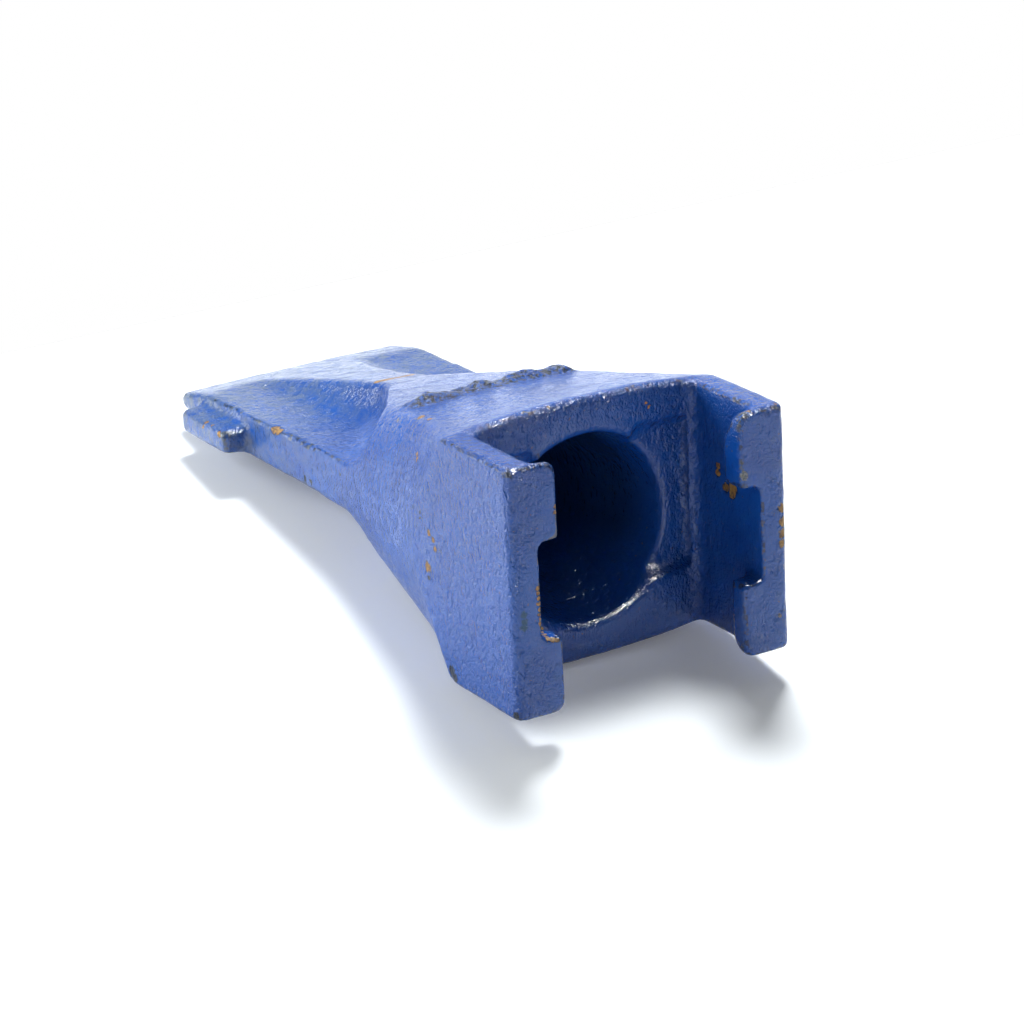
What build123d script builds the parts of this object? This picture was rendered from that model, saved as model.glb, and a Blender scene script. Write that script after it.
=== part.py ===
from build123d import *
from math import asin, atan, cos, radians, sin
import os

os.makedirs("parts", exist_ok=True)

# A twist-on bucket tooth: one steel casting, in millimetres.
# X runs from the mouth of the socket to the cutting edge, Y is across, Z is up.
# The origin is the centre of the socket's mouth, on the tooth's own axis.

# Whole casting
tooth_width = 99.0
mouth_height = 87.0
mouth_crown = 3.5
tip_reach = 197.5
tip_inset = 6.6
tip_bow = 2.0
tip_thickness = 4.8
tip_crown = 0.3
tip_overrun = 3.0
tip_radius = 2.1
tip_corner_radius = 2.5

# Barrel: a round shell that flares into the block with the ears. Each section is an
# ellipse, so much wider than the tooth and so much higher than its mouth.
barrel_extra_width = -17.4
barrel_extra_height = -4.0
barrel_end = 100.0
shoulder_extra_width = -10.0
shoulder_extra_height = 4.0
shoulder_reach = 58.0
flare_extra_width = 0.0
flare_extra_height = 38.0
flare_reach = 24.0
throat_extra_width = 9.5
throat_extra_height = 52.5
throat_reach = 10.8
block_extra_width = 27.0
block_extra_height = 75.0
top_edge_radius = 5.0
mouth_edge_radius = 2.4

# Blade behind the cutting edge
blade_inset = 8.5
blade_start = 84.0

# Four scoops beside the centre rib
rib_width = 18.5
scoop_front_floor = 4.4
scoop_rear_floor = 7.4
scoop_rear = 67.5
scoop_turn = 108.0
scoop_shoulder = 33.0
scoop_radius = 14.0
scoop_corner_radius = 15.0
scoop_lift = 2.0

# Conical socket with a domed end
socket_mouth_radius = 31.0
socket_end_radius = 14.0
socket_depth = 88.0
socket_dome = 6.0
socket_lip = 2.6

# Twist pockets beside the mouth of the socket
pocket_depth = 4.6
pocket_inner = 18.0
pocket_top = 30.5
pocket_ramp = 4.5
pocket_bottom = -21.5
pocket_draft = 1.2

# Ears that reach back from the body, with two hooks each
ear_reach = 36.0
ear_thickness = 9.8
ear_front = 6.0
ear_edge_radius = 3.2
ear_corner_radius = 5.0
ear_inner_radius = 3.5
hook_inset = 7.4
hook_gap = 30.6
upper_hook_thickness = 10.0
upper_hook_flat = 3.0
upper_hook_slope = 10.0
lower_hook_thickness = 7.8
lower_hook_flat = 4.0
lower_hook_slope = 5.5
hook_edge_bevel = 1.0
hook_corner_radius = 4.0

# Stub left by the pouring gate, on the +Y edge of the blade
gate_front = 180.0
gate_length = 34.0
gate_height = 9.6
gate_drop = 1.4
gate_proud = 8.8
gate_radius = 2.6
gate_face_radius = 2.0
gate_draft = 6.0
gate_root = 1.0

# Rough cast ridge across the body, above and below
ridge_reach = 58.5
ridge_half_span = 26.0
ridge_depth = 9.0
ridge_crest = 4.0
ridge_height = 1.9
ridge_root = 1.6
ridge_lumps = 10
ridge_lump_radius = 5.0
ridge_unevenness = 0.2
ridge_swell_turn = 235.0

half_width = tooth_width / 2
blade_width = tooth_width - 2 * blade_inset
tip_width = tooth_width - 2 * tip_inset
half_mouth = mouth_height / 2
half_ear = half_mouth - mouth_crown
half_gap = hook_gap / 2
ear_inner = half_width - ear_thickness
hook_inner = ear_inner - hook_inset
face_slope = (mouth_height - tip_thickness) / 2 / tip_reach
slope_angle = atan(face_slope)
swell_angle = radians(ridge_swell_turn)


def wedge_height(reach):
    """Height of the tooth's top face above the axis, on the centre line."""
    return half_mouth - face_slope * reach


def blade_edge(reach):
    """Half the blade's width at that reach, between the barrel and the cutting edge."""
    share = (reach - barrel_end) / (tip_reach - tip_bow - barrel_end)
    return (blade_width + (tip_width - blade_width) * share) / 2


# One scoop cutter: a pocket that is open to the side and fades out at the tip.
floor_tilt = (scoop_rear_floor - scoop_front_floor) / (tip_reach - scoop_rear)
floor_plane = Plane(
    origin=(scoop_rear, 0, scoop_rear_floor),
    x_dir=(1, 0, -floor_tilt),
    z_dir=(floor_tilt, -sin(radians(scoop_lift)), cos(radians(scoop_lift))),
)
scoop_length = 1.2 * (tip_reach - scoop_rear)
with BuildPart() as scoop:
    with BuildSketch(floor_plane):
        with BuildLine():
            FilletPolyline(
                (scoop_length, rib_width / 2),
                (scoop_turn - scoop_rear, rib_width / 2),
                (0, scoop_shoulder),
                (0, tooth_width),
                radius=scoop_corner_radius,
            )
            Polyline(
                (0, tooth_width),
                (scoop_length, tooth_width),
                (scoop_length, rib_width / 2),
            )
        make_face()
    extrude(amount=mouth_height)
    floor_edges = scoop.faces().sort_by(Axis.Z)[0].edges()
    wall_edges = floor_edges.filter_by(
        lambda edge: edge.center().Y < tooth_width * 0.9 and edge.center().X < tip_reach
    )
    fillet(wall_edges, radius=scoop_radius)


# The socket as a solid: a cone whose end is a shallow dome, part of a sphere.
dome_radius = (socket_end_radius ** 2 + socket_dome ** 2) / (2 * socket_dome)
dome_centre = socket_depth - dome_radius
dome_angle = asin(socket_end_radius / dome_radius) / 2
with BuildPart() as socket:
    with BuildSketch(Plane.XZ):
        with BuildLine():
            mouth = Line((-ear_reach, 0), (-ear_reach, socket_mouth_radius))
            lead = Line(mouth @ 1, (0, socket_mouth_radius))
            cone = Line(lead @ 1, (socket_depth - socket_dome, socket_end_radius))
            dome = ThreePointArc(
                cone @ 1,
                (dome_centre + dome_radius * cos(dome_angle), dome_radius * sin(dome_angle)),
                (socket_depth, 0),
            )
            Line(dome @ 1, mouth @ 0)
        make_face()
    revolve(axis=Axis.X)

# One ear, on the +Y side: a plate with an upper and a lower hook turned inwards.
with BuildPart() as ear:
    with BuildSketch(Plane.XZ.offset(-ear_inner)):
        with BuildLine():
            FilletPolyline(
                (-ear_reach, half_ear),
                (ear_front, half_ear),
                (ear_front, -half_ear),
                (-ear_reach, -half_ear),
                radius=ear_corner_radius,
            )
            Line((-ear_reach, -half_ear), (-ear_reach, half_ear))
        make_face()
    extrude(amount=-ear_thickness)
    hooks = (
        (1, upper_hook_thickness, upper_hook_flat, upper_hook_slope),
        (-1, lower_hook_thickness, lower_hook_flat, lower_hook_slope),
    )
    for side, thickness, flat, slope in hooks:
        with BuildSketch(Plane.XZ.offset(-hook_inner)):
            with BuildLine():
                Polyline(
                    (-ear_reach, side * half_gap),
                    (-ear_reach, side * half_ear),
                    (flat - ear_reach, side * half_ear),
                    (thickness - ear_reach, side * (half_ear - slope)),
                    (thickness - ear_reach, side * half_gap),
                    close=True,
                )
            make_face()
        extrude(amount=-hook_inset)
    rear_outer = ear.edges().filter_by(Axis.Z).filter_by_position(Axis.Y, half_width, half_width)
    fillet(rear_outer.sort_by(Axis.X)[0], radius=ear_edge_radius)
    hook_ends = ear.edges().filter_by(Axis.X).filter_by_position(Axis.Y, hook_inner, hook_inner)
    hook_corners = hook_ends.filter_by(lambda edge: abs(edge.center().Z) > half_ear * 0.9)
    fillet(hook_corners, radius=hook_corner_radius)
    hook_edges = ear.edges().filter_by_position(Axis.Y, hook_inner, hook_inner)
    chamfer(hook_edges, length=hook_edge_bevel)

# Stub of the pouring gate: a drafted block with soft outer edges.
gate_middle = gate_front - gate_length / 2
gate_plane = Plane(
    origin=(gate_middle, blade_edge(gate_middle) - gate_root, -gate_drop),
    x_dir=(1, 0, 0),
    z_dir=(0, 1, 0),
)
with BuildPart() as gate:
    with BuildSketch(gate_plane):
        RectangleRounded(gate_length, gate_height, gate_radius)
    extrude(amount=gate_proud + gate_root, taper=gate_draft)
    fillet(gate.faces().sort_by(Axis.Y)[-1].edges(), radius=gate_face_radius)

# Rough ridge: a row of uneven lumps on the upper broad face, with sloped flanks.
ridge_origin = (ridge_reach, 0, wedge_height(ridge_reach))
down_slope = (cos(slope_angle), 0, -sin(slope_angle))
with BuildPart() as ridge:
    with BuildSketch(Plane(origin=ridge_origin, x_dir=(0, 1, 0), z_dir=down_slope)):
        for index in range(ridge_lumps):
            across = ridge_half_span * (2 * index / (ridge_lumps - 1) - 1)
            radius = ridge_lump_radius * (1 + ridge_unevenness * sin(swell_angle * index))
            with Locations((across, ridge_height - ridge_lump_radius)):
                Circle(radius)
    extrude(amount=ridge_depth / 2, both=True)
    with BuildSketch(Plane(origin=ridge_origin, x_dir=down_slope, z_dir=(0, -1, 0))):
        Polygon(
            (-ridge_depth / 2, -ridge_root),
            (-ridge_depth / 2, 0),
            (-ridge_crest / 2, 2 * ridge_height),
            (ridge_crest / 2, 2 * ridge_height),
            (ridge_depth / 2, 0),
            (ridge_depth / 2, -ridge_root),
            align=None,
        )
    extrude(amount=2 * ridge_half_span, both=True, mode=Mode.INTERSECT)

with BuildPart() as tooth:
    # Round sections from the rear block to the blade, with the flare between them.
    sections = (
        (0, block_extra_width, block_extra_height),
        (throat_reach, throat_extra_width, throat_extra_height),
        (flare_reach, flare_extra_width, flare_extra_height),
        (shoulder_reach, shoulder_extra_width, shoulder_extra_height),
        (barrel_end, barrel_extra_width, barrel_extra_height),
    )
    for reach, extra_width, extra_height in sections:
        with BuildSketch(Plane.YZ.offset(reach)):
            Ellipse((tooth_width + extra_width) / 2, (mouth_height + extra_height) / 2)
    loft()

    # The blade grows out of the barrel to its full width at the cutting edge.
    with BuildSketch(Plane.XY) as blade_plan:
        with BuildLine():
            Polyline(
                (tip_reach - tip_bow, tip_width / 2),
                (barrel_end, blade_width / 2),
                (blade_start, blade_width / 2),
                (blade_start, -blade_width / 2),
                (barrel_end, -blade_width / 2),
                (tip_reach - tip_bow, -tip_width / 2),
            )
            ThreePointArc(
                (tip_reach - tip_bow, -tip_width / 2),
                (tip_reach, 0),
                (tip_reach - tip_bow, tip_width / 2),
            )
        make_face()
        fillet(blade_plan.vertices().group_by(Axis.X)[-1], radius=tip_corner_radius)
    extrude(amount=half_mouth, both=True)

    # Both broad faces are one long wedge, crowned at the rear and flat at the tip.
    far_end = tip_reach + tip_overrun
    far_height = 2 * wedge_height(far_end)
    ends = ((0, mouth_height, mouth_crown), (far_end, far_height, tip_crown))
    for reach, height, crown in ends:
        with BuildSketch(Plane.YZ.offset(reach)):
            with BuildLine():
                top = ThreePointArc(
                    (-half_width, height / 2 - crown),
                    (0, height / 2),
                    (half_width, height / 2 - crown),
                )
                bottom = ThreePointArc(
                    (-half_width, crown - height / 2),
                    (0, -height / 2),
                    (half_width, crown - height / 2),
                )
                Line(top @ 0, bottom @ 0)
                Line(top @ 1, bottom @ 1)
            make_face()
    loft(mode=Mode.INTERSECT)
    long_edges = tooth.edges().filter_by(
        lambda edge: edge.length > shoulder_reach
        and ear_front < (edge @ 0.5).X < barrel_end / 2
        and half_gap < abs((edge @ 0.5).Z)
        and abs((edge @ 0.5).Y) < ear_inner
    )
    fillet(long_edges, radius=top_edge_radius)

    rear_arcs = tooth.edges().filter_by_position(Axis.X, 0, 0).filter_by(GeomType.CIRCLE)
    fillet(rear_arcs, radius=mouth_edge_radius)

    # Cutting edge and blade sides, worn round.
    blade_edges = tooth.edges().filter_by(
        lambda edge: (edge @ 0.5).X > blade_start + tip_overrun
        and abs((edge @ 0.5).Z) > tip_thickness / 4
        and ((edge @ 0.5).X > tip_reach - tip_bow or abs((edge @ 0.5).Y) > hook_inner)
    )
    fillet(blade_edges, radius=tip_radius)

    # Scoops on both sides of the rib, above and below.
    for cutter in (scoop.part, scoop.part.mirror(Plane.XZ)):
        add(cutter, mode=Mode.SUBTRACT)
        add(cutter.mirror(Plane.XY), mode=Mode.SUBTRACT)

    # Ears, with a hollow corner where each one meets the rear face.
    add(ear.part)
    add(ear.part.mirror(Plane.XZ))
    add(gate.part)
    ear_corners = tooth.edges().filter_by(Axis.Z).filter_by_position(Axis.X, 0, 0)
    fillet(ear_corners.filter_by(lambda edge: edge.length > hook_gap), radius=ear_inner_radius)

    # Socket, with a small lip radius at its mouth.
    add(socket.part, mode=Mode.SUBTRACT)
    lip = tooth.edges().filter_by(GeomType.CIRCLE).filter_by_position(Axis.X, 0, 0)
    fillet(lip.filter_by(lambda edge: edge.radius < half_ear), radius=socket_lip)

    # Twist pockets: one on each side, with a ramp along the top.
    for side in (-1, 1):
        for depth in (0, pocket_depth):
            share = depth / pocket_depth
            top = pocket_top - pocket_ramp * share
            bottom = pocket_bottom + pocket_draft * share
            outer = ear_inner - pocket_draft * share
            with BuildSketch(Plane.YZ.offset(depth)):
                Polygon(
                    (side * pocket_inner, top),
                    (side * outer, top),
                    (side * outer, bottom),
                    (side * pocket_inner, bottom),
                    align=None,
                )
        loft(mode=Mode.SUBTRACT)

    add(ridge.part)
    add(ridge.part.mirror(Plane.XY))

tooth.part.label = "tooth"
export_step(tooth.part, "parts/tooth.step")
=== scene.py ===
"""Looks for the bucket tooth: one blue painted casting on a pale studio floor.

Everything is in metres in the row's frame: X towards the cutting edge, Y across, Z up.
Marks on the paint are placed by where they show in the photograph: each is cast from the
camera on to the casting, so it stays on the surface seen from any side.
"""
from math import radians

import bmesh
import bpy
from mathutils import Matrix, Vector, noise
from mathutils.bvhtree import BVHTree


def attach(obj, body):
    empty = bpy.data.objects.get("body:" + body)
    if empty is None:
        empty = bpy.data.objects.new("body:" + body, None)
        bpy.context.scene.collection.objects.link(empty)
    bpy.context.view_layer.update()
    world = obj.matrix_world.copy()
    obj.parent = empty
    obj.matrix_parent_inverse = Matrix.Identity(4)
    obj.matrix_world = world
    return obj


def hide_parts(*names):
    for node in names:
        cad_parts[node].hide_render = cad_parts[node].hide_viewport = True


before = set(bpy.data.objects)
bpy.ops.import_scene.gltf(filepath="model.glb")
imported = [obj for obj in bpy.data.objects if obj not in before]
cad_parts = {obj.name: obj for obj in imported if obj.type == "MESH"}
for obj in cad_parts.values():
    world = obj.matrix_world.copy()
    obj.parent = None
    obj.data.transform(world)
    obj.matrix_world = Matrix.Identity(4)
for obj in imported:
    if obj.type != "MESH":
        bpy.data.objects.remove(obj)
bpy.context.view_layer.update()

MM = 0.001

# Camera, found from the photograph
IMAGE_WIDTH = 1024
SENSOR = 36.0
CAMERA_PLACE = Vector((-0.93515, 0.57317, 0.41106))
CAMERA_AIM = Vector((0.04673, 0.0, -0.00787))
CAMERA_ROLL = radians(-2.87)
FOCAL_LENGTH = 133.8
CAMERA_NEAR = 0.05
CAMERA_FAR = 20

# The casting's skin: an even mesh over the CAD node, with its sharp edges softened as cast
WELD = 0.01 * MM
SKIN_STEP = 1.15 * MM
SKIN_SMOOTHING = 3
SMOOTHING_FACTOR = 0.5

# Places on the tooth, as in the CAD: socket, twist pockets, rough ridges and scoops
BORE_RADIUS = 30.5 * MM
BORE_TAPER = 0.207
POCKET_DEPTH = 4.6 * MM
POCKET_INNER = 17.0 * MM
POCKET_FOOT = -21.0 * MM
RIDGE_REACH = 58.5 * MM
RIDGE_HALF_SPAN = 30.0 * MM
RIDGE_HALF_DEPTH = 5.5 * MM
RIDGE_LOWEST = 28.0 * MM
SCOOP_REAR = 66.0 * MM
SCOOP_FRONT = 192.0 * MM
SCOOP_HALF_SPAN = 38.0 * MM

# Local smoothing: how far it reaches around each edge, and its rounds
LIP_REACH = 5 * MM
LIP_ROUNDS = 18
FOOT_REACH = 6 * MM
FOOT_ROUNDS = 24
RIM_REACH_ALONG = 8 * MM
RIM_REACH_ACROSS = 5 * MM
SCOOP_ROUNDS = 16
RIDGE_FADE = 3
RIDGE_EDGE = 1.15
RIDGE_ROUNDS = 10
EDGE_ROUNDS = 12

# Unevenness in the surface: height in mm, size of the waves, and a number that sets them apart
SKIN_WAVES = ((0.16, 19 * MM, 1), (0.12, 7 * MM, 2), (0.10, 3.2 * MM, 3))
RIDGE_WAVES = ((0.55, 2.8 * MM, 4), (0.40, 1.9 * MM, 5))
RIDGE_SINK = 0.2
WAVE_SHIFT = (1, 2.7, -1.3)

# In the photograph the tooth lies on the lower edge of its mouth and on its lower ridge
REST_TILT = radians(9.85)
FLOOR_BACK = 0.75
FLOOR_FRONT = 0.27
FLOOR_HALF_WIDTH = 0.75

# Marks on the paint: where each shows in the photograph, and its radius in mm
RUST = {
    "blade side": (275, 429, 1.7),
    "blade side end": (279, 431, 1.3),
    "gate stub a": (207, 422, 0.8),
    "gate stub b": (203, 427, 0.6),
    "gate stub c": (213, 425, 0.6),
    "gate stub d": (219, 434, 0.9),
    "barrel top": (421, 417, 1.3),
    "barrel top small": (430, 419, 0.8),
    "barrel rear a": (417, 454, 0.7),
    "barrel rear b": (417, 459, 0.7),
    "ear front a": (429, 533, 0.9),
    "ear front b": (433, 540, 0.9),
    "ear front c": (435, 549, 0.9),
    "ear front d": (428, 567, 1.5),
    "upper streak a": (646, 402, 0.5),
    "upper streak b": (649, 407, 0.5),
    "left ear rear": (555, 506, 0.7),
    "left ear rear low": (555, 512, 0.6),
    "right hook a": (718, 466, 1.1),
    "right hook b": (718, 473, 1.1),
    "right hook c": (733, 488, 2.0),
    "right hook d": (732, 494, 1.5),
    "right hook e": (726, 488, 1.4),
    "right ear top": (748, 411, 0.7),
    "right ear corner": (776, 404, 0.6),
    "right bulge a": (782, 508, 1.3),
    "right bulge b": (783, 521, 1.5),
    "right bulge c": (783, 533, 1.4),
    "right bulge d": (782, 543, 1.1),
}
GREY = {
    "barrel top far": (437, 377, 0.7),
    "barrel": (398, 420, 0.8),
    "right ear": (744, 476, 1.3),
    "right ear low": (780, 616, 0.7),
    "top face": (529, 391, 0.7),
    "rim a": (549, 407, 0.6),
    "rim b": (523, 412, 0.6),
}
PITS = {
    "blade a": (305, 478, 0.9),
    "blade b": (311, 482, 0.9),
    "blade top": (235, 385, 0.5),
    "ear a": (429, 578, 0.7),
    "ear b": (413, 506, 0.6),
    "ear c": (420, 512, 0.7),
    "ear d": (420, 518, 0.6),
    "ear e": (417, 527, 0.5),
    "flare a": (395, 566, 0.5),
    "flare b": (413, 571, 0.6),
    "ear low a": (452, 671, 1.8),
    "ear low b": (455, 678, 1.5),
    "bottom corner": (516, 716, 1.3),
    "ear top": (452, 445, 0.6),
    "scoop edge": (340, 474, 0.7),
}

# Lines of marks: points in the photograph, radius in mm, and marks from one point to the next
RUST_LINE = ((538, 588), (539, 604), (540, 620), (542, 632), (548, 639), (557, 640))
RUST_LINE_RADIUS = 0.65
RUST_LINE_STEPS = 3
RIB_STREAK = ((379, 381), (410, 375))
RIB_STREAK_RADIUS = 1.5
RIB_STREAK_STEPS = 9
TEAL_STAIN = ((524, 615), (525, 622), (524, 628))
TEAL_RADIUS = 1.0
TEAL_STEPS = 1

# Colours, linear
BLUE = (0.007, 0.074, 0.345)
BLUE_DEEP = (0.004, 0.056, 0.290)
BLUE_WORN = (0.100, 0.138, 0.195)
RUST_TAN = (0.400, 0.205, 0.040)
RUST_DARK = (0.110, 0.050, 0.018)
GREY_WORN = (0.190, 0.190, 0.160)
# Dark for pits, chips' rims and dirty edges, and also painted shade in the socket and in the ridges'
# hollows
PIT_DARK_AND_SHADE = (0.004, 0.014, 0.035)
TEAL = (0.004, 0.060, 0.115)
RIDGE_GREY = (0.036, 0.056, 0.090)
EDGE_OLIVE = (0.075, 0.080, 0.050)
FLOOR_WHITE = (0.930, 0.935, 0.940)
PURE_WHITE = (1.0, 1.0, 1.0)
MIDDLE_GREY = (0.5, 0.5, 0.5)

# Patterns in the paint: size of their features, detail, roughness, and a shift in metres
BROAD_PATTERN = (34 * MM, 3, 0.55, 0.0)
DUST_PATTERN = (4 * MM, 4, 0.75, 0.3)
SCUFF_PATTERN = (3.1 * MM, 4, 0.7, 0.7)
SPECK_PATTERN = (1.5 * MM, 2, 0.6, 8.8)
FRAY_PATTERN = (2.5 * MM, 3, 0.5, 0.0)
GRIME_PATTERN = (1.3 * MM, 3, 0.7, 1.1)
# Patches of painted shade in the ridges' hollows
HOLLOW_SHADE_PATTERN = (1.7 * MM, 3, 0.6, 1.9)
BROKEN_PATTERN = (2.2 * MM, 4, 0.65, 5.2)
EDGE_TONE_PATTERN = (6 * MM, 2, 0.5, 6.1)
RUST_PATTERN = (0.9 * MM, 3, 0.6, 2.3)
GREY_PATTERN = (0.8 * MM, 3, 0.6, 7.3)
DIMPLE_PATTERN = (1.8 * MM, 2, 0.5, 0.1)
GRAIN_PATTERN = (0.9 * MM, 2, 0.5, 0.9)
TORN_PATTERN = (1.3 * MM, 3, 0.65, 3.1)
GLOSS_PATTERN = (5 * MM, 3, 0.6, 4.0)
RAGGED_SIZE = 1.3 * MM
RAGGED_DETAIL = 3.0

# Steps in the paint's colour: from which value to which, and then from which share to which
DEEP_STEP = (0.35, 0.68)
WORN_ALONG = (0.050, 0.195)
WORN_STEP = (0.25, 0.75)
WORN_MOST = 0.95
SCUFF_STEP = (0.56, 0.74)
SCUFF_MOST = 0.20
SPECK_STEP = (0.68, 0.75, 0.0, 0.6)
# Painted shade inside the socket: where it lies, how it deepens inwards, and how much lighter its lower
# side is
BORE_SHADE_STEP = (33 * MM, 32 * MM)
BORE_SHADE_INWARDS = (2 * MM, 25 * MM, 0.0, 0.75)
BORE_SHADE_UPWARDS = (-24 * MM, -8 * MM, 0.35, 1.0)
FRAY_WIDTH = 4 * MM
RIDGE_ALONG = (RIDGE_HALF_DEPTH * 1.75, RIDGE_HALF_DEPTH * 1.25)
RIDGE_ACROSS = (RIDGE_HALF_SPAN * 1.10, RIDGE_HALF_SPAN * 0.98)
GRIME_STEP = (0.48, 0.62, 0.0, 0.7)
# Painted shade in the ridges' hollows
HOLLOW_SHADE_STEP = (0.54, 0.44)
BROKEN_STEP = (0.44, 0.58)
STANDING_STEP = (0.19, 0.32)
EDGE_TONE_STEP = (0.4, 0.6)
EDGE_MOST = 0.8
RUST_TONE_STEP = (0.35, 0.65)
GREY_TONE_STEP = (0.42, 0.58)

# Steps around marks, in radii of the mark
RAGGED_PUSH = 2.1 * MM
TEAL_STEP = (1.6, 0.6, 0.0, 0.85)
GREY_STEP = (1.25, 0.85, 0.0, 0.8)
RUST_RIM_STEP = (1.45, 1.15, 0.0, 0.7)
RUST_STEP = (1.12, 0.98)
PIT_STEP = (1.15, 0.8)

# Relief under the paint: heights in mm
STRETCH = (1.0, 1.0, 0.55)
DIMPLE_STEP = (0.68, 0.48, 0.0, 0.30)
GRAIN_STEP = (0.66, 0.42, 0.0, 0.15)
RELIEF_ALONG = (0.060, 0.110, 1.0, 0.5)
RELIEF_INSIDE = (36 * MM, 39 * MM, 0.5, 1.0)
CHIP_DEPTH = 0.15
PIT_DEPTH_STEP = (1.2, 0.4, 0.0, 0.3)
RELIEF_UNIT = 1.0 * MM
RELIEF_STRENGTH = 1.0

# Gloss of the paint
GLOSS_STEP = (0.3, 0.7, 0.10, 0.20)
BARE_ROUGHNESS = 0.5
RIDGE_ROUGHNESS = 0.08
PAINT_IOR = 1.56

# Light around the tooth, by its direction: a white backdrop low beyond it, a bright floor
# below the horizon and a dim room elsewhere
BACKDROP = (0.86, -0.49, 0.12)
BACKDROP_EDGE = (0.84, 0.95)
BACKDROP_TOP = (0.34, 0.28)
BACKDROP_LIGHT = 1.4
GROUND_EDGE = (0.02, -0.14)
GROUND_LIGHT = 2.0
ROOM_LIGHT = 0.06
COOL_WHITE = (0.92, 0.97, 1.0)

# Fill for diffuse light alone, from beyond the tooth and from its right
FILL_ACROSS = -0.6
FILL_EDGE = (-0.1, 0.3)
FILL_LEAST = 0.06
FILL_LIGHT = 0.50

# The floor shows a little brighter than it is lit
FLOOR_LIFT = 0.11

# Square lamps: place, the point each aims at, side in metres and power in watts
TOP_BOX = ((0.36, -0.30, 1.10), (0.05, 0, 0), 0.30, 19.0)
LEFT_BOX = ((0.75, 0.95, 0.47), (0.05, 0, 0), 0.7, 18.0)
GLINT_LAMP = ((-0.62, -0.20, 1.02), (0, 0, 0), 0.16, 34.0)


def add_camera():
    """The photograph's camera: a long lens behind the tooth's left shoulder."""
    forward = (CAMERA_AIM - CAMERA_PLACE).normalized()
    level = forward.cross(Vector((0, 0, 1))).normalized()
    above = level.cross(forward)
    right = Matrix.Rotation(-CAMERA_ROLL, 3, forward) @ level
    above = Matrix.Rotation(-CAMERA_ROLL, 3, forward) @ above
    turn = Matrix((right, above, -forward)).transposed()
    data = bpy.data.cameras.new("camera")
    data.sensor_width = SENSOR
    data.lens = FOCAL_LENGTH
    data.clip_start = CAMERA_NEAR
    data.clip_end = CAMERA_FAR
    camera = bpy.data.objects.new("camera", data)
    camera.matrix_world = Matrix.Translation(CAMERA_PLACE) @ turn.to_4x4()
    bpy.context.collection.objects.link(camera)
    bpy.context.scene.camera = camera
    return camera


def pixel_ray(camera, u, v):
    """Direction from the camera through the photograph's pixel (u, v)."""
    half = SENSOR / 2 / camera.data.lens
    x = (u / IMAGE_WIDTH * 2 - 1) * half
    y = (1 - v / IMAGE_WIDTH * 2) * half
    return (camera.matrix_world.to_3x3() @ Vector((x, y, -1))).normalized()


def skin_of(node):
    """A closed, evenly meshed copy of the CAD node, with its sharp edges softened as cast."""
    mesh = node.data.copy()
    welded = bmesh.new()
    welded.from_mesh(mesh)
    bmesh.ops.remove_doubles(welded, verts=welded.verts, dist=WELD)
    welded.to_mesh(mesh)
    welded.free()
    source = bpy.data.objects.new("casting_source", mesh)
    bpy.context.collection.objects.link(source)
    remesh = source.modifiers.new("skin", "REMESH")
    remesh.mode = "VOXEL"
    remesh.voxel_size = SKIN_STEP
    remesh.use_smooth_shade = True
    smooth = source.modifiers.new("soften", "SMOOTH")
    smooth.factor = SMOOTHING_FACTOR
    smooth.iterations = SKIN_SMOOTHING
    bpy.context.view_layer.update()
    depsgraph = bpy.context.evaluated_depsgraph_get()
    skin = bpy.data.meshes.new_from_object(source.evaluated_get(depsgraph))
    bpy.data.objects.remove(source)
    piece = bpy.data.objects.new("tooth_casting", skin)
    bpy.context.collection.objects.link(piece)
    return piece


def smoothed(piece, rounds, share=None):
    """The piece's mesh after rounds of smoothing, at each vertex by its share from 0 to 1."""
    smooth = piece.modifiers.new("smoothing", "SMOOTH")
    smooth.iterations = rounds
    if share:
        group = piece.vertex_groups.new(name="smoothing")
        for vertex in piece.data.vertices:
            weight = share(vertex.co)
            if weight > 0:
                group.add([vertex.index], min(weight, 1.0), "REPLACE")
        smooth.vertex_group = group.name
    depsgraph = bpy.context.evaluated_depsgraph_get()
    mesh = bpy.data.meshes.new_from_object(piece.evaluated_get(depsgraph))
    piece.modifiers.remove(smooth)
    if share:
        piece.vertex_groups.remove(group)
    return mesh


def near_pocket_lip(place):
    """1 on the edge between the bore and the floors of the twist pockets, 0 away from it."""
    if abs(place.y) < POCKET_INNER:
        return 0.0
    off_bore = Vector((place.y, place.z)).length - BORE_RADIUS
    return 1 - Vector((place.x - POCKET_DEPTH, off_bore)).length / LIP_REACH


def near_pocket_foot(place):
    """1 along the lower edge of a twist pocket, 0 away from it."""
    if abs(place.y) < POCKET_INNER:
        return 0.0
    return 1 - Vector((place.x - POCKET_DEPTH / 2, place.z - POCKET_FOOT)).length / FOOT_REACH


def near_scoop_rim(place):
    """1 or more over the blade's rib and scoops, fading to 0 at the limits of the scoops."""
    along = min(place.x - SCOOP_REAR, SCOOP_FRONT - place.x) / RIM_REACH_ALONG
    across = (SCOOP_HALF_SPAN - abs(place.y)) / RIM_REACH_ACROSS
    return min(along, across)


def ridge_share(place):
    """1 on the rough ridges across both broad faces, fading to 0 just beside them."""
    if abs(place.z) < RIDGE_LOWEST:
        return 0.0
    along = abs(place.x - RIDGE_REACH) / RIDGE_HALF_DEPTH
    across = abs(place.y) / RIDGE_HALF_SPAN
    return max(0.0, min(1.0, RIDGE_FADE * (RIDGE_EDGE - max(along, across))))


def mark_edges(piece):
    """Stores how far each vertex stands out of a smoothed copy, in mm: high on outer edges."""
    flat = smoothed(piece, EDGE_ROUNDS)
    out = [
        (vertex.co - level.co).dot(vertex.normal) / MM
        for vertex, level in zip(piece.data.vertices, flat.vertices)
    ]
    piece.data.attributes.new("edge", "FLOAT", "POINT").data.foreach_set("value", out)


def wave(place, size, seed):
    """Smooth noise from -1 to 1, with features about that size in metres."""
    return noise.noise(place / size + Vector([share * seed for share in WAVE_SHIFT]))


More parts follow.
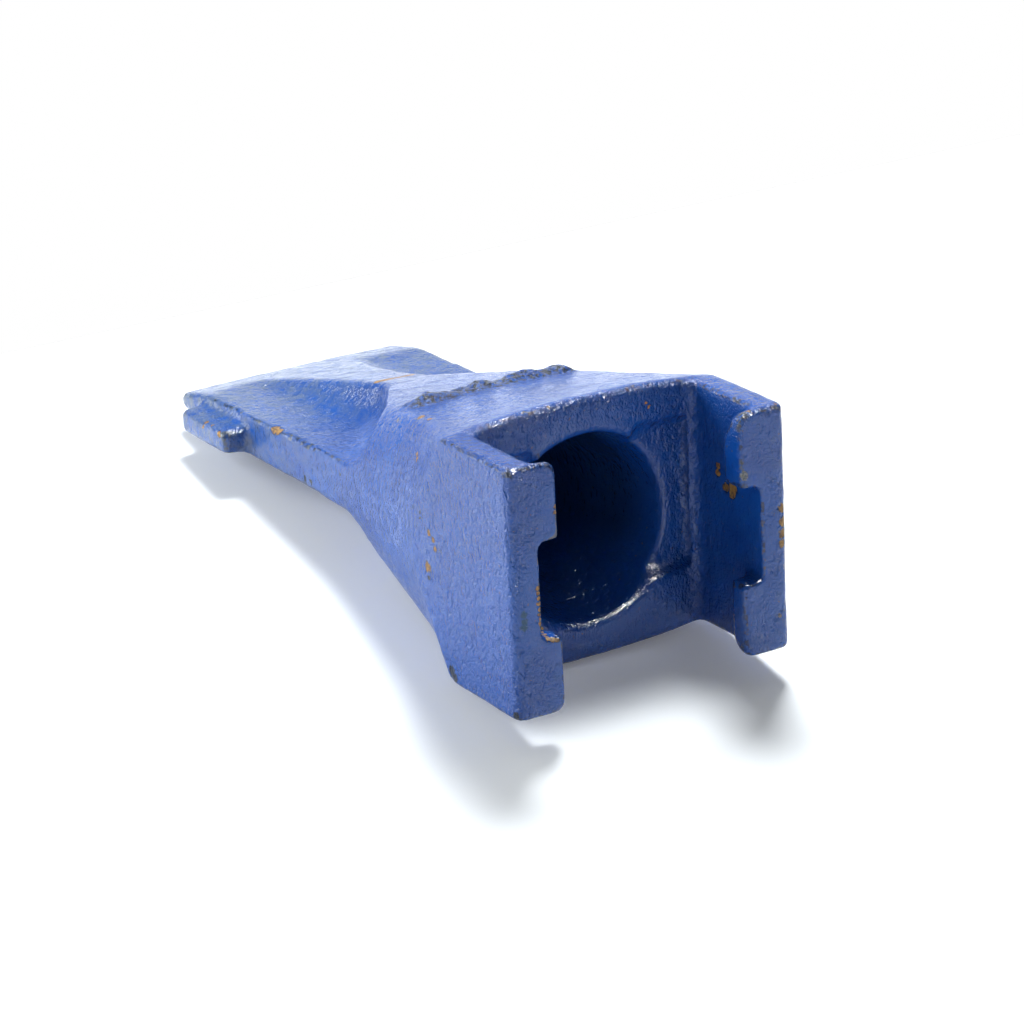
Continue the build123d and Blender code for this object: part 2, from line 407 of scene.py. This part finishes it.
def roughen(piece):
    """Cast unevenness in the surface itself: long waves, sand grain, and the torn ridges."""
    mesh = piece.data
    normals = [vertex.normal.copy() for vertex in mesh.vertices]
    for vertex, normal in zip(mesh.vertices, normals):
        place = vertex.co.copy()
        lift = sum(height * wave(place, size, seed) for height, size, seed in SKIN_WAVES)
        ridge = ridge_share(place)
        if ridge > 0:
            torn = sum(height * wave(place, size, seed) for height, size, seed in RIDGE_WAVES)
            lift += ridge * (torn - RIDGE_SINK)
        vertex.co = place + normal * lift * MM
    mesh.update()


class Nodes:
    """Short forms for building the shader nodes of one material or world."""

    def __init__(self, owner):
        owner.use_nodes = True
        self.tree = owner.node_tree
        self.tree.nodes.clear()

    def node(self, kind, inputs=None, **settings):
        made = self.tree.nodes.new(kind)
        for key, value in settings.items():
            setattr(made, key, value)
        for key, value in (inputs or {}).items():
            self.put(made.inputs[key], value)
        return made

    def put(self, socket, value):
        if isinstance(value, bpy.types.NodeSocket):
            self.tree.links.new(value, socket)
        elif isinstance(value, tuple) and len(value) == 3 and socket.type == "RGBA":
            socket.default_value = (*value, 1)
        else:
            socket.default_value = value

    def math(self, operation, a, b=0.0, clamp=False):
        made = self.node("ShaderNodeMath", {0: a, 1: b}, operation=operation, use_clamp=clamp)
        return made.outputs[0]

    def vector(self, operation, a, b):
        made = self.node("ShaderNodeVectorMath", {0: a, 1: b}, operation=operation)
        return made.outputs["Value" if operation in ("DOT_PRODUCT", "DISTANCE") else "Vector"]

    def ramp(self, value, low, high, to_low=0.0, to_high=1.0, kind="SMOOTHSTEP"):
        """A step from to_low to to_high as value goes from low to high."""
        made = self.node(
            "ShaderNodeMapRange",
            {"Value": value, "From Min": low, "From Max": high, "To Min": to_low, "To Max": to_high},
            interpolation_type=kind,
        )
        return made.outputs[0]

    def mix(self, share, a, b):
        made = self.node("ShaderNodeMix", {0: share, 6: a, 7: b}, data_type="RGBA")
        return made.outputs[2]

    def noise(self, place, pattern):
        """Noise about 0.5 in the given pattern."""
        size, detail, rough, shift = pattern
        moved = self.vector("ADD", place, (shift, shift, shift))
        made = self.node(
            "ShaderNodeTexNoise",
            {"Vector": moved, "Scale": 1 / size, "Detail": detail, "Roughness": rough},
        )
        return made.outputs["Fac"]

    def nearest(self, place, spots):
        """Distance to the nearest spot, in that spot's own radii."""
        away = [
            self.math("DIVIDE", self.vector("DISTANCE", place, tuple(centre)), radius)
            for centre, radius in spots
        ]
        shortest = away[0]
        for other in away[1:]:
            shortest = self.math("MINIMUM", shortest, other)
        return shortest


def spots_of(marks, camera, tree):
    """The marks as places on the casting with their radii, in metres. One that misses is left out."""
    spots = []
    for u, v, radius in marks:
        hit = tree.ray_cast(camera.matrix_world.translation, pixel_ray(camera, u, v))
        if hit[0] is not None:
            spots.append((hit[0], radius * MM))
    return spots


def along(points, radius, steps):
    """A line of marks through the photograph's points."""
    marks = []
    for (u0, v0), (u1, v1) in zip(points, points[1:]):
        for step in range(steps):
            share = step / steps
            marks.append((u0 + (u1 - u0) * share, v0 + (v1 - v0) * share, radius))
    marks.append((*points[-1], radius))
    return marks


def blue_paint(camera, tree):
    """Glossy royal blue over sand-cast steel, chipped to rust and worn grey in places."""
    material = bpy.data.materials.new("blue_paint")
    p = Nodes(material)
    place = p.node("ShaderNodeTexCoord").outputs["Object"]
    axes = p.node("ShaderNodeSeparateXYZ", {0: place})
    x, y, z = axes.outputs

    # The colour varies a little over the casting, thinner and greyer near the cutting edge
    colour = p.mix(p.ramp(p.noise(place, BROAD_PATTERN), *DEEP_STEP), BLUE, BLUE_DEEP)
    dusting = p.ramp(p.noise(place, DUST_PATTERN), *WORN_STEP)
    worn = p.math("MULTIPLY", p.ramp(x, *WORN_ALONG), dusting)
    colour = p.mix(p.math("MULTIPLY", worn, WORN_MOST), colour, BLUE_WORN)
    scuff = p.ramp(p.noise(place, SCUFF_PATTERN), *SCUFF_STEP)
    colour = p.mix(p.math("MULTIPLY", scuff, SCUFF_MOST), colour, BLUE_WORN)

    # Small specks of dirt, and painted shade inside the socket, deepening inwards and lighter on its
    # lower side
    colour = p.mix(p.ramp(p.noise(place, SPECK_PATTERN), *SPECK_STEP), colour, EDGE_OLIVE)
    off_axis = p.math("ADD", p.math("MULTIPLY", y, y), p.math("MULTIPLY", z, z))
    off_axis = p.math("ADD", p.math("SQRT", off_axis), p.math("MULTIPLY", x, BORE_TAPER))
    bore_painted_shade = p.math("MULTIPLY", p.ramp(off_axis, *BORE_SHADE_STEP), p.ramp(x, *BORE_SHADE_INWARDS))
    bore_painted_shade = p.math("MULTIPLY", bore_painted_shade, p.ramp(z, *BORE_SHADE_UPWARDS))
    colour = p.mix(bore_painted_shade, colour, PIT_DARK_AND_SHADE)

    # The torn ridges hold dark grime; patches of painted shade stand in for the shade in their hollows
    fray = p.math("MULTIPLY", p.noise(place, FRAY_PATTERN), FRAY_WIDTH)
    along_ridge = p.math("ADD", p.math("ABSOLUTE", p.math("SUBTRACT", x, RIDGE_REACH)), fray)
    across_ridge = p.math("ADD", p.math("ABSOLUTE", y), fray)
    on_ridge = p.math("MULTIPLY", p.ramp(along_ridge, *RIDGE_ALONG), p.ramp(across_ridge, *RIDGE_ACROSS))
    on_face = p.math("GREATER_THAN", p.math("ABSOLUTE", z), RIDGE_LOWEST)
    on_ridge = p.math("MULTIPLY", on_ridge, on_face)
    grime = p.ramp(p.noise(place, GRIME_PATTERN), *GRIME_STEP)
    colour = p.mix(p.math("MULTIPLY", on_ridge, grime), colour, RIDGE_GREY)
    # Painted shade: dark patches for the shade in the ridges' hollows
    ridge_hollow_shade = p.ramp(p.noise(place, HOLLOW_SHADE_PATTERN), *HOLLOW_SHADE_STEP)
    colour = p.mix(p.math("MULTIPLY", on_ridge, ridge_hollow_shade), colour, PIT_DARK_AND_SHADE)

    # Outer edges: the paint is thin and dirty there, in broken lines
    standing = p.node("ShaderNodeAttribute", attribute_name="edge").outputs["Fac"]
    broken = p.ramp(p.noise(place, BROKEN_PATTERN), *BROKEN_STEP)
    rubbed = p.math("MULTIPLY", p.ramp(standing, *STANDING_STEP), broken)
    edge_share = p.ramp(p.noise(place, EDGE_TONE_PATTERN), *EDGE_TONE_STEP)
    edge_tone = p.mix(edge_share, EDGE_OLIVE, PIT_DARK_AND_SHADE)
    colour = p.mix(p.math("MULTIPLY", rubbed, EDGE_MOST), colour, edge_tone)

    # Marks: a warped copy of the place gives them ragged edges
    ragged = p.node(
        "ShaderNodeTexNoise",
        {"Vector": place, "Scale": 1 / RAGGED_SIZE, "Detail": RAGGED_DETAIL},
    )
    push = p.vector("SUBTRACT", ragged.outputs["Color"], MIDDLE_GREY)
    push = p.node("ShaderNodeVectorMath", {0: push, "Scale": RAGGED_PUSH}, operation="SCALE").outputs[0]
    warped = p.vector("ADD", place, push)

    rust_marks = list(RUST.values()) + along(RUST_LINE, RUST_LINE_RADIUS, RUST_LINE_STEPS)
    rust_marks += along(RIB_STREAK, RIB_STREAK_RADIUS, RIB_STREAK_STEPS)
    teal_marks = along(TEAL_STAIN, TEAL_RADIUS, TEAL_STEPS)
    rust = p.nearest(warped, spots_of(rust_marks, camera, tree))
    grey = p.nearest(warped, spots_of(GREY.values(), camera, tree))
    pits = p.nearest(warped, spots_of(PITS.values(), camera, tree))
    teal = p.nearest(warped, spots_of(teal_marks, camera, tree))

    colour = p.mix(p.ramp(teal, *TEAL_STEP), colour, TEAL)
    grey_share = p.ramp(p.noise(place, GREY_PATTERN), *GREY_TONE_STEP)
    grey_tone = p.mix(grey_share, GREY_WORN, EDGE_OLIVE)
    colour = p.mix(p.ramp(grey, *GREY_STEP), colour, grey_tone)
    colour = p.mix(p.ramp(rust, *RUST_RIM_STEP), colour, PIT_DARK_AND_SHADE)
    rust_share = p.ramp(p.noise(place, RUST_PATTERN), *RUST_TONE_STEP)
    rust_tone = p.mix(rust_share, RUST_TAN, RUST_DARK)
    bare = p.ramp(rust, *RUST_STEP)
    colour = p.mix(bare, colour, rust_tone)
    colour = p.mix(p.ramp(pits, *PIT_STEP), colour, PIT_DARK_AND_SHADE)

    # Relief under the paint: long wrinkles, sand grain, the chips' edges and the torn ridges
    stretched = p.node("ShaderNodeMapping", {"Vector": place, "Scale": STRETCH}).outputs[0]
    dimple = p.ramp(p.noise(stretched, DIMPLE_PATTERN), *DIMPLE_STEP)
    grain = p.ramp(p.noise(place, GRAIN_PATTERN), *GRAIN_STEP)
    height = p.math("MULTIPLY", p.math("ADD", dimple, grain), p.ramp(x, *RELIEF_ALONG))
    height = p.math("MULTIPLY", height, p.ramp(off_axis, *RELIEF_INSIDE))
    height = p.math("SUBTRACT", height, p.math("MULTIPLY", bare, CHIP_DEPTH))
    height = p.math("SUBTRACT", height, p.ramp(pits, *PIT_DEPTH_STEP))
    height = p.math("ADD", height, p.math("MULTIPLY", on_ridge, p.noise(place, TORN_PATTERN)))
    relief = p.node(
        "ShaderNodeBump",
        {"Height": height, "Distance": RELIEF_UNIT, "Strength": RELIEF_STRENGTH},
    )

    gloss = p.ramp(p.noise(place, GLOSS_PATTERN), *GLOSS_STEP)
    gloss = p.math("ADD", gloss, p.math("MULTIPLY", bare, BARE_ROUGHNESS), clamp=True)
    gloss = p.math("ADD", gloss, p.math("MULTIPLY", on_ridge, RIDGE_ROUGHNESS), clamp=True)
    shader = p.node(
        "ShaderNodeBsdfPrincipled",
        {
            "Base Color": colour,
            "Roughness": gloss,
            "IOR": PAINT_IOR,
            "Normal": relief.outputs[0],
        },
    )
    p.node("ShaderNodeOutputMaterial", {"Surface": shader.outputs[0]})
    return material


def floor_white():
    """Matt white, shown a little brighter to the camera and in reflections."""
    material = bpy.data.materials.new("floor_white")
    p = Nodes(material)
    seen = p.node("ShaderNodeLightPath").outputs
    direct = p.math("MAXIMUM", seen["Is Camera Ray"], seen["Is Glossy Ray"])
    direct = p.math("MAXIMUM", direct, seen["Is Transmission Ray"])
    matt = p.node("ShaderNodeBsdfDiffuse", {"Color": FLOOR_WHITE})
    strength = p.math("MULTIPLY", direct, FLOOR_LIFT)
    lift = p.node("ShaderNodeEmission", {"Color": PURE_WHITE, "Strength": strength})
    both = p.node("ShaderNodeAddShader", {0: matt.outputs[0], 1: lift.outputs[0]})
    p.node("ShaderNodeOutputMaterial", {"Surface": both.outputs[0]})
    return material


def add_floor(piece):
    """A pale floor that touches the tooth where it lies, tilted as the tooth's lower face is."""
    tilt = Matrix.Rotation(-REST_TILT, 4, "Y")
    lowest = min((tilt.inverted() @ vertex.co).z for vertex in piece.data.vertices)
    corners = (
        (-FLOOR_BACK, -FLOOR_HALF_WIDTH, lowest),
        (FLOOR_FRONT, -FLOOR_HALF_WIDTH, lowest),
        (FLOOR_FRONT, FLOOR_HALF_WIDTH, lowest),
        (-FLOOR_BACK, FLOOR_HALF_WIDTH, lowest),
    )
    mesh = bpy.data.meshes.new("floor")
    mesh.from_pydata([tilt @ Vector(corner) for corner in corners], [], [(0, 1, 2, 3)])
    mesh.materials.append(floor_white())
    floor = bpy.data.objects.new("floor", mesh)
    bpy.context.collection.objects.link(floor)


def add_lamp(name, lamp, glints_only=False):
    """A square lamp. One for glints alone doesn't light the paint's own colour or the floor."""
    place, aim, side, power = lamp
    data = bpy.data.lights.new(name, "AREA")
    data.shape = "SQUARE"
    data.size = side
    data.energy = power
    data.color = COOL_WHITE
    light = bpy.data.objects.new(name, data)
    light.location = place
    light.visible_diffuse = not glints_only
    light.rotation_mode = "QUATERNION"
    light.rotation_quaternion = (Vector(aim) - Vector(place)).to_track_quat("-Z", "Y")
    bpy.context.collection.objects.link(light)


def add_world():
    """White where the camera sees it. Elsewhere, light from the backdrop, floor and room."""
    world = bpy.data.worlds.new("studio")
    bpy.context.scene.world = world
    p = Nodes(world)
    toward = p.node("ShaderNodeTexCoord").outputs["Generated"]
    seen = p.node("ShaderNodeLightPath").outputs
    x, y, z = p.node("ShaderNodeSeparateXYZ", {0: toward}).outputs

    ahead = p.vector("DOT_PRODUCT", toward, BACKDROP)
    backdrop = p.ramp(ahead, *BACKDROP_EDGE, 0.0, BACKDROP_LIGHT)
    backdrop = p.math("MULTIPLY", backdrop, p.ramp(z, *BACKDROP_TOP))
    ground = p.ramp(z, *GROUND_EDGE, 0.0, GROUND_LIGHT)
    sideways = p.math("ADD", x, p.math("MULTIPLY", y, FILL_ACROSS))
    fill = p.ramp(sideways, *FILL_EDGE, FILL_LEAST, FILL_LIGHT, kind="LINEAR")
    fill = p.math("MULTIPLY", seen["Is Diffuse Ray"], fill)

    level = p.math("MAXIMUM", backdrop, ROOM_LIGHT)
    level = p.math("MAXIMUM", level, ground)
    level = p.math("ADD", level, fill)
    glow = p.node("ShaderNodeBackground", {"Color": COOL_WHITE, "Strength": level})
    white = p.node("ShaderNodeBackground", {"Color": PURE_WHITE, "Strength": 1.0})
    shown = p.node(
        "ShaderNodeMixShader",
        {0: seen["Is Camera Ray"], 1: glow.outputs[0], 2: white.outputs[0]},
    )
    p.node("ShaderNodeOutputWorld", {"Surface": shown.outputs[0]})


def main():
    camera = add_camera()
    casting = skin_of(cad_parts["tooth"])
    casting.data = smoothed(casting, LIP_ROUNDS, near_pocket_lip)
    casting.data = smoothed(casting, FOOT_ROUNDS, near_pocket_foot)
    casting.data = smoothed(casting, SCOOP_ROUNDS, near_scoop_rim)
    casting.data = smoothed(casting, RIDGE_ROUNDS, ridge_share)
    mark_edges(casting)
    roughen(casting)
    tree = BVHTree.FromObject(casting, bpy.context.evaluated_depsgraph_get())
    casting.data.materials.clear()
    casting.data.materials.append(blue_paint(camera, tree))
    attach(casting, "root")
    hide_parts("tooth")

    add_floor(casting)
    add_world()
    add_lamp("top_box", TOP_BOX)
    add_lamp("left_box", LEFT_BOX)
    add_lamp("glint_lamp", GLINT_LAMP, glints_only=True)
    bpy.context.scene.view_settings.view_transform = "Standard"


main()
